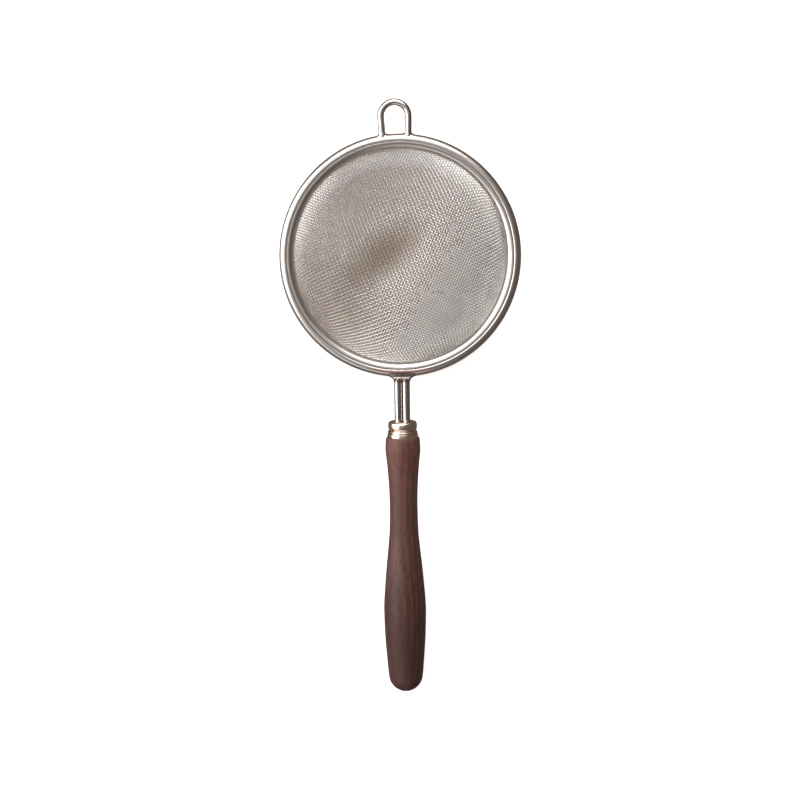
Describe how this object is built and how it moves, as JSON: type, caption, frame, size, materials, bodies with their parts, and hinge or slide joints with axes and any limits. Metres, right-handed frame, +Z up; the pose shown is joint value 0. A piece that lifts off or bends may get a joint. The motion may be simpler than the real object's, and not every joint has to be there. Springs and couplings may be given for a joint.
{
  "type": "tea strainer",
  "caption": "Long-handled tea strainer: a round bowl of woven wire in a steel wire rim with a hanging loop, on a rod neck set in a turned walnut handle.",
  "frame": {"origin": "middle of the footprint, on the surface that the strainer lies on: it rests on the bottom of its bowl and the butt of its handle", "axes": "+Y from the handle to the hanging loop, +Z up, +X to the right when seen from above with the loop at the top; the rim plane leans 8.2 degrees, rising towards +Y"},
  "size_m": [0.09, 0.2234, 0.0388],
  "materials": {
    "polished_steel": "polished",
    "wire_cloth": "satin",
    "weld": "satin",
    "ferrule": "polished",
    "walnut": "satin",
    "resin": "gloss"
  },
  "bodies": {
    "root": {"rim_wire": "polished_steel", "rim_channel": "polished_steel", "mesh_bowl": "wire_cloth", "rim_weld_1": "weld", "rim_weld_2": "weld", "rim_weld_3": "weld", "rim_weld_4": "weld", "rim_weld_5": "weld", "rim_weld_6": "weld", "rim_weld_7": "weld", "rim_weld_8": "weld", "hanging_loop": "polished_steel", "loop_weld_left": "weld", "loop_weld_right": "weld", "neck_rod_left": "polished_steel", "neck_rod_right": "polished_steel", "neck_weld_left": "weld", "neck_weld_right": "weld", "ferrule": "ferrule", "handle": "walnut", "tang_resin": "resin"}
  },
  "joints": []
}
